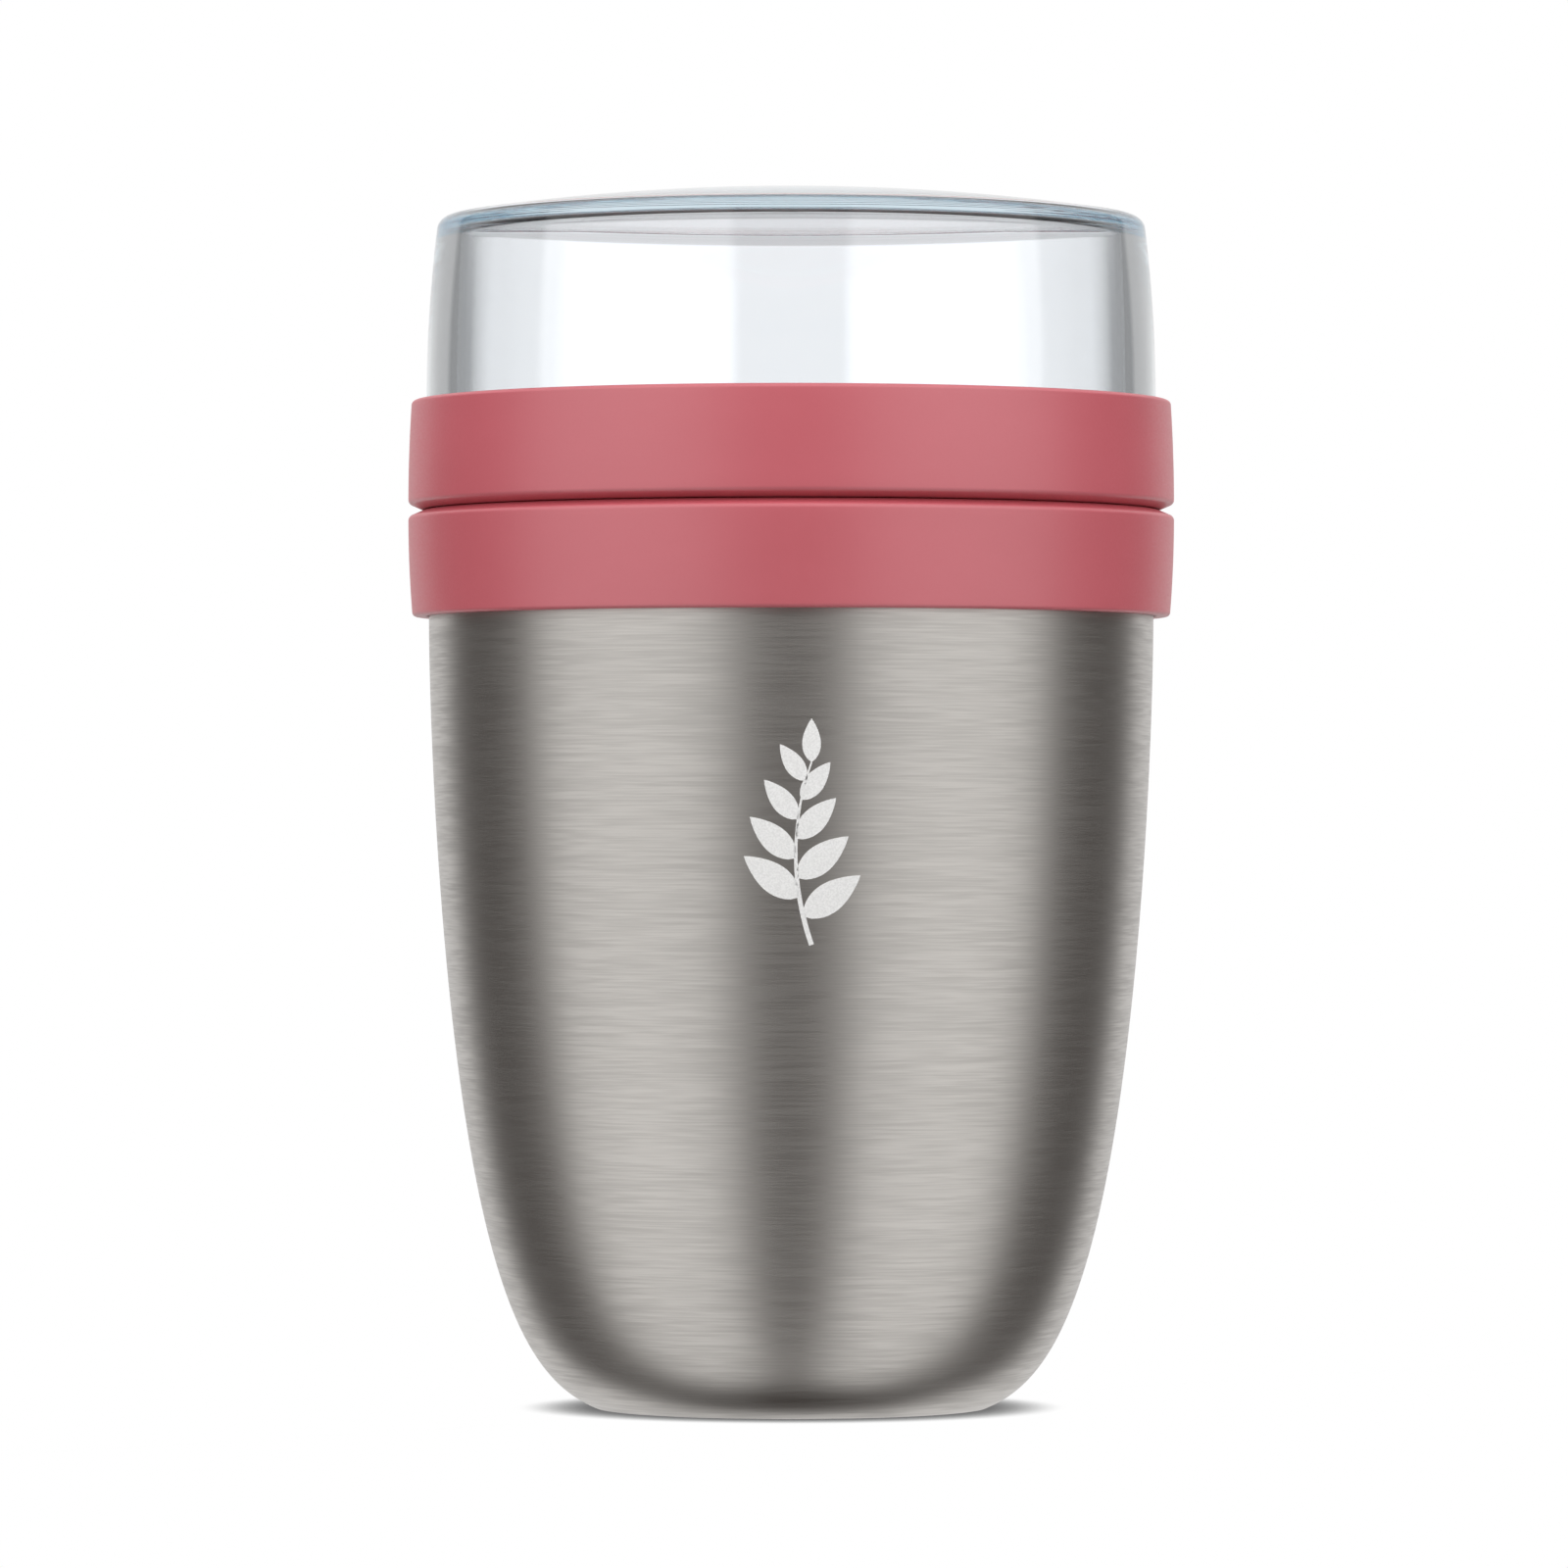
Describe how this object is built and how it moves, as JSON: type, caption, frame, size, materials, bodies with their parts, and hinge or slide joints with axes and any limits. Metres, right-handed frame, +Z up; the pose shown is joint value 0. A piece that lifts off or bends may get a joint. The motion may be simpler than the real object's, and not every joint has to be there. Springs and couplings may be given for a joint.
{
  "type": "insulated lunch pot",
  "caption": "Double-walled steel lunch pot with a tapered round body, a coral collar and screwed lid ring, and a clear domed topping cup screwed on top.",
  "frame": {"origin": "middle of the face that the pot stands on", "axes": "+Z up along the pot's axis, from its base to the cup's crown; X and Y are level"},
  "size_m": [0.1108, 0.1108, 0.1762],
  "materials": {
    "brushed_steel": "stainless steel, brushed round the pot",
    "inner_steel": "stainless steel, electropolished satin",
    "foil": "bright aluminium foil",
    "coral": "satin coral-red polypropylene",
    "clear": "clear glossy plastic with a cool tint",
    "silicone": "matt translucent white silicone",
    "foam": "pale closed-cell foam",
    "pellet": "dark pressed powder",
    "solder_glass": "grey solder glass"
  },
  "bodies": {
    "pot": {"outer_shell": "brushed_steel", "inner_vessel": "inner_steel", "radiation_foil": "foil", "base_plate": "inner_steel", "vacuum_seal": "solder_glass", "getter": "pellet", "base_cover": "inner_steel", "pot_collar": "coral", "collar_gasket": "silicone"},
    "lid_seal_ring": {"lid_seal": "silicone"},
    "lid": {"lid_ring": "coral", "lid_liner": "coral", "lid_insulation": "foam"},
    "cup_seal_ring": {"cup_seal": "silicone"},
    "cup": {"topping_cup": "clear"}
  },
  "joints": [
    {"name": "lid_rise", "type": "slide", "parent": "pot", "child": "lid_seal_ring", "axis": [0, 0, 1], "range_m": [0, 0.012]},
    {"name": "lid_turn", "type": "hinge", "parent": "lid_seal_ring", "child": "lid", "pos_m": [0, 0, 0.1302], "axis": [0, 0, 1], "range_deg": [0, 360]},
    {"name": "cup_rise", "type": "slide", "parent": "lid", "child": "cup_seal_ring", "axis": [0, 0, 1], "range_m": [0, 0.012]},
    {"name": "cup_turn", "type": "hinge", "parent": "cup_seal_ring", "child": "cup", "pos_m": [0, 0, 0.1411], "axis": [0, 0, 1], "range_deg": [0, 360]}
  ],
  "couplings": [
    {"joint": "lid_rise", "follows": "lid_turn", "m_per_rad": 0.0019098},
    {"joint": "cup_rise", "follows": "cup_turn", "m_per_rad": 0.0019098}
  ]
}
